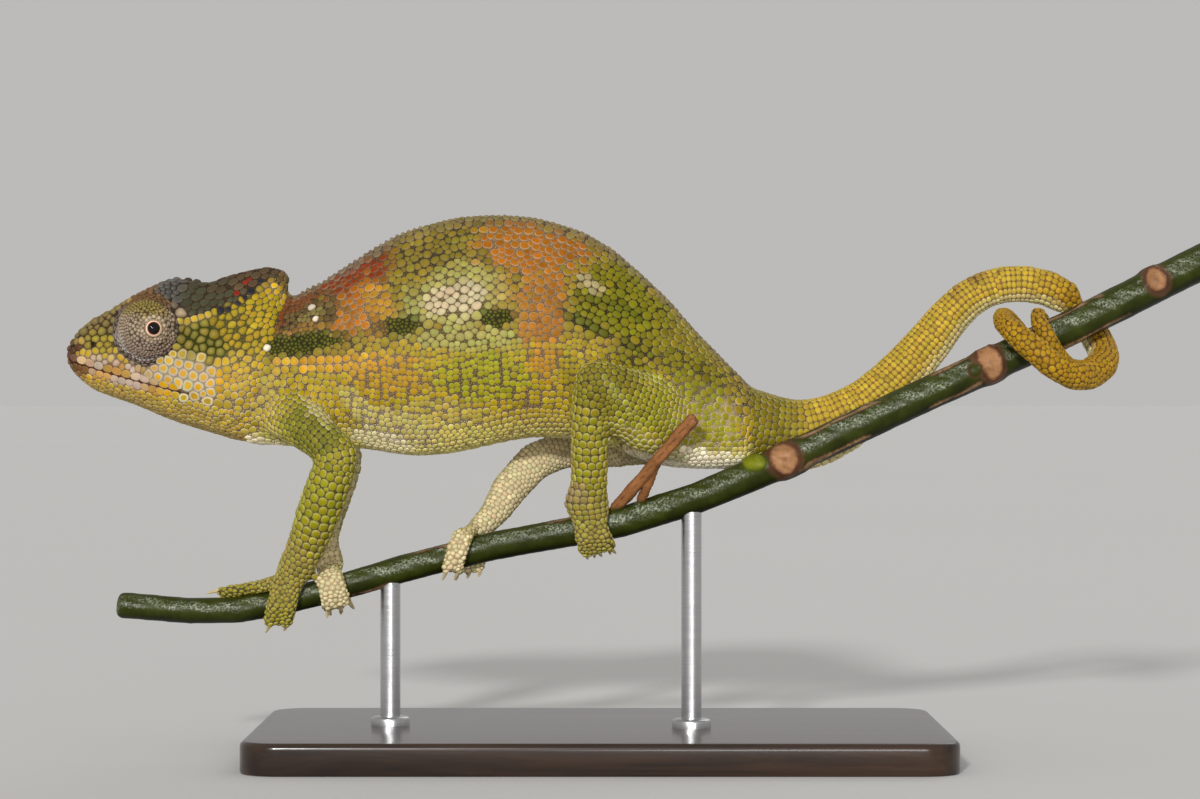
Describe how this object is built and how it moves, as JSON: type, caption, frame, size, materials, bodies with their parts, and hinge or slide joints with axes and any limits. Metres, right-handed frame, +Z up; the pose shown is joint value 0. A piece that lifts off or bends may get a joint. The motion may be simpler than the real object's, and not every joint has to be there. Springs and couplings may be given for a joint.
{
  "type": "chameleon",
  "caption": "Life-size still model of a chameleon gripping a cut stem with its feet and coiled tail, held by a flat base and rods.",
  "frame": {"origin": "middle of the underside of the stand's base", "axes": "+Z up, the animal faces -X and its left flank faces -Y, the tail and the stem run towards +X"},
  "size_m": [0.184, 0.06, 0.087],
  "materials": {
    "head_skin": "scaly, yellow and grey-green, satin",
    "trunk_skin": "scaly, yellow-green with orange and green bands, satin",
    "leg_skin": "scaly, yellow-green, satin",
    "tail_skin": "scaly, ochre yellow, satin",
    "eyelid_skin": "fine granules, grey-beige, satin",
    "eye": "wet gloss, dark pupil in a pale orange ring",
    "claw": "pale horn, smooth",
    "stem": "dark green bark, waxy, with brown scars",
    "stand_base": "black lacquer, satin",
    "stand_rod": "brushed"
  },
  "bodies": {
    "root": {"head": "head_skin", "lower_jaw": "head_skin", "eye_turret_left": "eyelid_skin", "eyeball_left": "eye", "eye_turret_right": "eyelid_skin", "eyeball_right": "eye", "neck": "trunk_skin", "trunk_front": "trunk_skin", "trunk_rear": "trunk_skin", "tail_base": "tail_skin", "tail_rise": "tail_skin", "tail_arch": "tail_skin", "tail_turn_1": "tail_skin", "tail_turn_2": "tail_skin", "tail_turn_3": "tail_skin", "tail_tip": "tail_skin", "front_left_upper": "leg_skin", "front_left_lower": "leg_skin", "front_left_foot": "leg_skin", "front_left_toes_outer": "leg_skin", "front_left_claw_outer_1": "claw", "front_left_claw_outer_2": "claw", "front_left_toes_inner": "leg_skin", "front_left_claw_inner_1": "claw", "front_left_claw_inner_2": "claw", "front_left_claw_inner_3": "claw", "front_right_upper": "leg_skin", "front_right_lower": "leg_skin", "front_right_foot": "leg_skin", "front_right_toes_outer": "leg_skin", "front_right_claw_outer_1": "claw", "front_right_claw_outer_2": "claw", "front_right_toes_inner": "leg_skin", "front_right_claw_inner_1": "claw", "front_right_claw_inner_2": "claw", "front_right_claw_inner_3": "claw", "hind_left_upper": "leg_skin", "hind_left_lower": "leg_skin", "hind_left_foot": "leg_skin", "hind_left_toes_outer": "leg_skin", "hind_left_claw_outer_1": "claw", "hind_left_claw_outer_2": "claw", "hind_left_claw_outer_3": "claw", "hind_left_toes_inner": "leg_skin", "hind_left_claw_inner_1": "claw", "hind_left_claw_inner_2": "claw", "hind_right_upper": "leg_skin", "hind_right_lower": "leg_skin", "hind_right_foot": "leg_skin", "hind_right_toes_outer": "leg_skin", "hind_right_claw_outer_1": "claw", "hind_right_claw_outer_2": "claw", "hind_right_claw_outer_3": "claw", "hind_right_toes_inner": "leg_skin", "hind_right_claw_inner_1": "claw", "hind_right_claw_inner_2": "claw", "perch": "stem", "stand_base": "stand_base", "stand_rod_1": "stand_rod", "stand_rod_2": "stand_rod"}
  },
  "joints": []
}
